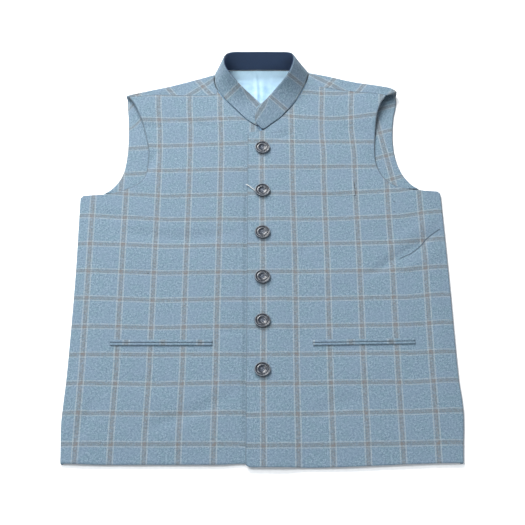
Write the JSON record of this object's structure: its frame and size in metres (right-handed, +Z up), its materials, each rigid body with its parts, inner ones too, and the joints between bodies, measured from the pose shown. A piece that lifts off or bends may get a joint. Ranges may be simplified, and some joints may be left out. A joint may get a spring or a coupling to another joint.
{
  "type": "sleeveless jacket",
  "caption": "Sleeveless stand-collar jacket in a blue-grey window check, buttoned and laid flat, with a chest welt and hip pockets.",
  "frame": {"origin": "under the middle of the bounding box, on the surface that the jacket lies on", "axes": "+X towards the wearer's left side, +Y from the hem to the collar, +Z up off the surface, out of the jacket's front"},
  "size_m": [0.5632, 0.724, 0.0404],
  "materials": {
    "check_cloth": "matt woven blue-grey cloth with a grey and white window check, 48 mm repeat",
    "satin_lining": "pale blue satin",
    "navy_facing": "matt dark blue felt",
    "horn_button": "polished dark horn-like resin"
  },
  "bodies": {
    "root": {"back": "check_cloth", "front_left": "check_cloth", "front_right": "check_cloth", "collar": "check_cloth", "collar_facing": "navy_facing", "back_lining": "satin_lining", "armhole_facing_left": "check_cloth", "armhole_facing_right": "check_cloth", "breast_welt": "check_cloth", "pocket_welt_upper_left": "check_cloth", "pocket_welt_lower_left": "check_cloth", "pocket_welt_upper_right": "check_cloth", "pocket_welt_lower_right": "check_cloth", "button_1": "horn_button", "button_2": "horn_button", "button_3": "horn_button", "button_4": "horn_button", "button_5": "horn_button", "button_6": "horn_button"}
  },
  "joints": []
}
